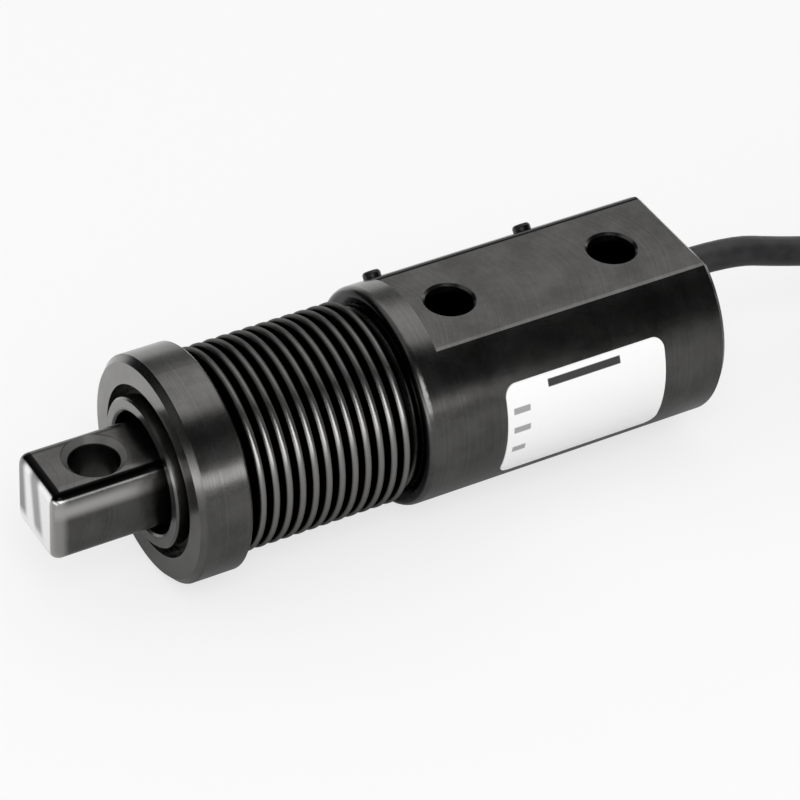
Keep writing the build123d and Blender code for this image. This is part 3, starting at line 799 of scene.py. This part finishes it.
def turnPiece(name, outline, steps, wall=0.0, middle=(0.0, 0.0)):
    # outline is a list of (along, radius), spun round a line along the cell through middle
    piece = startMesh(name)
    bpy.ops.transform.translate(value=(outline[0][0], middle[0], middle[1] + outline[0][1]))
    for first, second in zip(outline, outline[1:]):
        move = (second[0] - first[0], 0, second[1] - first[1])
        bpy.ops.mesh.extrude_region_move(TRANSFORM_OT_translate={"value": move})
    bpy.ops.mesh.select_all(action="SELECT")
    bpy.ops.mesh.spin(steps=steps, angle=math.tau, center=(0, *middle), axis=(1, 0, 0))
    bpy.ops.mesh.select_all(action="SELECT")
    bpy.ops.mesh.remove_doubles(threshold=mergeDistance)
    bpy.ops.mesh.normals_make_consistent(inside=False)
    bpy.ops.object.mode_set(mode="OBJECT")
    if wall:
        thicken = piece.modifiers.new("wall", "SOLIDIFY")
        thicken.thickness = wall
        thicken.offset = -1
        thicken.use_even_offset = True
        bpy.ops.object.modifier_apply(modifier=thicken.name)
    bpy.ops.object.transform_apply(location=True, rotation=True, scale=True)
    bpy.ops.object.shade_smooth_by_angle(angle=smoothAngle)
    return piece


def arc(middle, level, radius, start, end, count):
    points = []
    for number in range(count + 1):
        angle = math.radians(start + (end - start) * number / count)
        points.append((middle + radius * math.cos(angle), level + radius * math.sin(angle)))
    return points


# Bellows: outer skin of the folded sheet, from one cuff to the other
bellowsLook = {
    "front": 0.0225,
    "rear": 0.0616,
    "cuff": 0.00215,
    "folds": 12,
    "pitch": 0.0029,
    "root": 0.0173,
    "crest": 0.0210,
    "rootBend": 0.000575,
    "crestBend": 0.000875,
    "rootPoints": 4,
    "crestPoints": 9,
    "sheet": 0.0003,
    "steps": 168,
}


def bellowsOutline(look):
    points = [(look["front"], look["root"])]
    rootLevel = look["root"] + look["rootBend"]
    crestLevel = look["crest"] - look["crestBend"]
    for number in range(look["folds"]):
        left = look["front"] + look["cuff"] + number * look["pitch"]
        middle = left + look["pitch"] / 2
        right = left + look["pitch"]
        points += arc(left, rootLevel, look["rootBend"], 270, 360, look["rootPoints"])
        points += arc(middle, crestLevel, look["crestBend"], 180, 0, look["crestPoints"])
        points += arc(right, rootLevel, look["rootBend"], 180, 270, look["rootPoints"])[:-1]
    points.append((look["rear"] - look["cuff"], look["root"]))
    points.append((look["rear"], look["root"]))
    return points


outline = bellowsOutline(bellowsLook)
bellows = turnPiece("folded_bellows", outline, bellowsLook["steps"], bellowsLook["sheet"])
dress(bellows, finishes["bellows_steel"])
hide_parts("bellows")
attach(bellows, "root")
print("bellows made:", len(bellows.data.polygons), "faces")

# Heat shrink sleeve at the cable's far end, drawn in where it grips the jacket and the cores
shrinkLook = {
    "middle": (-0.0504, -0.01905),
    "outline": [
        (0.1824, 0.00315), (0.1823, 0.00335), (0.1809, 0.00350), (0.1793, 0.00342),
        (0.1776, 0.00352), (0.1749, 0.00347), (0.1733, 0.00352), (0.1721, 0.00340),
        (0.1709, 0.00280), (0.1699, 0.00215), (0.1695, 0.00190), (0.1694, 0.00165),
        (0.1701, 0.00150), (0.1721, 0.00010),
    ],
    "steps": 48,
}
outline = shrinkLook["outline"]
shrink = turnPiece("shrink_sleeve", outline, shrinkLook["steps"], middle=shrinkLook["middle"])
dress(shrink, finishes["shrink_tube"])
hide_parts("heat_shrink")
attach(shrink, "root")

print("cable end made")

# Studio floor: pale, with painted shade where metal mirrors it: darker on the near side than on the
# far side
floorLook = {
    "radius": 0.62,
    "place": (0.08, 0.0, -0.0234),
    "shade": 0.82,
    "mirrored": (0.37, 0.95),   # as metal shows it: near side, far side
    "change": (-0.03, 0.06),   # across, where the one gives way to the other
    "white": 0.7,   # share of plain white that the camera sees
}


def makeFloor(look):
    clearSelection()
    bpy.ops.mesh.primitive_circle_add(vertices=128, radius=look["radius"], fill_type="NGON")
    floor = bpy.context.object
    floor.name = "floor"
    bpy.ops.object.mode_set(mode="EDIT")
    bpy.ops.mesh.select_all(action="SELECT")
    bpy.ops.transform.translate(value=look["place"])
    bpy.ops.object.mode_set(mode="OBJECT")
    material, finish = newFinish("floor_paper")
    seen = finish.add("ShaderNodeLightPath", output="Is Camera Ray")
    glossy = seen.part("Is Glossy Ray")
    lit = finish.add("ShaderNodeBsdfDiffuse", sockets={"Color": grey(look["shade"])})
    across = finish.axes(finish.place())[1]
    shades = (grey(shade) for shade in look["mirrored"])
    # painted shade: as metal mirrors it, the floor is darker on the near side
    shade = finish.blend(finish.rise(across, *look["change"]), *shades)
    mirrored = finish.add("ShaderNodeBsdfDiffuse", sockets={"Color": shade})
    white = finish.add("ShaderNodeEmission", sockets={"Color": grey(1.0), "Strength": 1.0})
    pale = finish.add("ShaderNodeMixShader", sockets={0: look["white"], 1: lit, 2: white})
    unseen = finish.add("ShaderNodeMixShader", sockets={0: glossy, 1: lit, 2: mirrored})
    surface = finish.add("ShaderNodeMixShader", sockets={0: seen, 1: unseen, 2: pale})
    finish.add("ShaderNodeOutputMaterial", sockets={"Surface": surface})
    dress(floor, material)


# Soft sky: even light, white for the camera, and light and dark parts that metal mirrors. Each
# pair is where, in a ray's direction along, across or up, one part gives way to the next.
skyLook = {
    "light": 0.80,
    "dark": 0.008,
    "near": (-0.26, -0.04),
    "nearLow": (0.0, 0.32),
    "nearShade": 0.27,
    "front": (-0.70, -0.45),
    "frontShade": 2.2,
    "farShade": 0.95,
    "lineLow": (0.10, 0.26),   # a darker belt on the far side
    "lineHigh": (0.44, 0.80),
    "lineShade": 0.24,
    "rear": (-0.28, 0.10),   # beyond it, the far side shows as above, and short of it as below
    "farFront": (0.44, 0.56),
    "farFrontShade": 0.30,
}


def makeSky(look):
    world = bpy.data.worlds.new("soft_sky")
    world.use_nodes = True
    bpy.context.scene.world = world
    finish = Finish(world.node_tree)
    along, across, up = finish.axes(finish.add("ShaderNodeTexCoord", output="Generated"))
    seen = finish.add("ShaderNodeLightPath", output="Is Camera Ray")
    glossy = seen.part("Is Glossy Ray")
    near = finish.fall(across, *look["near"])
    low = finish.fall(up, *look["nearLow"])
    front = finish.fall(along, *look["front"])
    nearShade = low * look["nearShade"] + low * front * look["frontShade"]
    line = finish.rise(up, *look["lineLow"]) * finish.fall(up, *look["lineHigh"])
    farShade = (1 - line) * look["farShade"] + line * look["lineShade"]
    rear = finish.rise(along, *look["rear"])
    farFront = finish.rise(up, *look["farFront"]) * look["farFrontShade"]
    farShade = farShade * rear + farFront * (1 - rear)
    mirrored = nearShade * near + farShade * (1 - near) + look["dark"]
    shade = mirrored * glossy + (1 - glossy) * look["light"]
    shade = shade * (1 - seen) + seen
    backdrop = finish.add("ShaderNodeBackground", sockets={"Color": grey(1.0), "Strength": shade})
    finish.add("ShaderNodeOutputWorld", sockets={"Surface": backdrop})


# One lamp lights the cell, and the two boxes are seen only as reflections in its metal
lampLooks = {
    "soft_lamp": {
        "place": (-0.25, -0.75, 0.95), "aim": (0.08, 0.0, 0.0),
        "shape": "DISK", "width": 0.7, "height": 0.7, "power": 6.0, "reflection": False,
    },
    "softBox": {
        "place": (0.034, -0.30, 0.096), "aim": (0.034, 0.0, 0.096),
        "shape": "RECTANGLE", "width": 0.3075, "height": 0.076, "power": 0.19,
        "reflection": True,
    },
    "sideBox": {
        "place": (-0.07, -0.30, 0.221), "aim": (-0.07, 0.0, 0.221),
        "shape": "RECTANGLE", "width": 0.28, "height": 0.19, "power": 0.46,
        "reflection": True,
    },
}


def makeLamp(name, look):
    bpy.ops.object.light_add(type="AREA", location=look["place"])
    lamp = bpy.context.object
    lamp.name = name
    towards = Vector(look["aim"]) - Vector(look["place"])
    lamp.rotation_mode = "QUATERNION"
    lamp.rotation_quaternion = towards.to_track_quat("-Z", "Y")
    lamp.data.energy = look["power"]
    lamp.data.shape = look["shape"]
    lamp.data.size = look["width"]
    lamp.data.size_y = look["height"]
    lamp.visible_glossy = look["reflection"]
    lamp.visible_diffuse = lamp.visible_camera = not look["reflection"]


makeFloor(floorLook)
makeSky(skyLook)
for name, look in lampLooks.items():
    makeLamp(name, look)
bpy.context.scene.view_settings.view_transform = "Standard"
print("studio made")
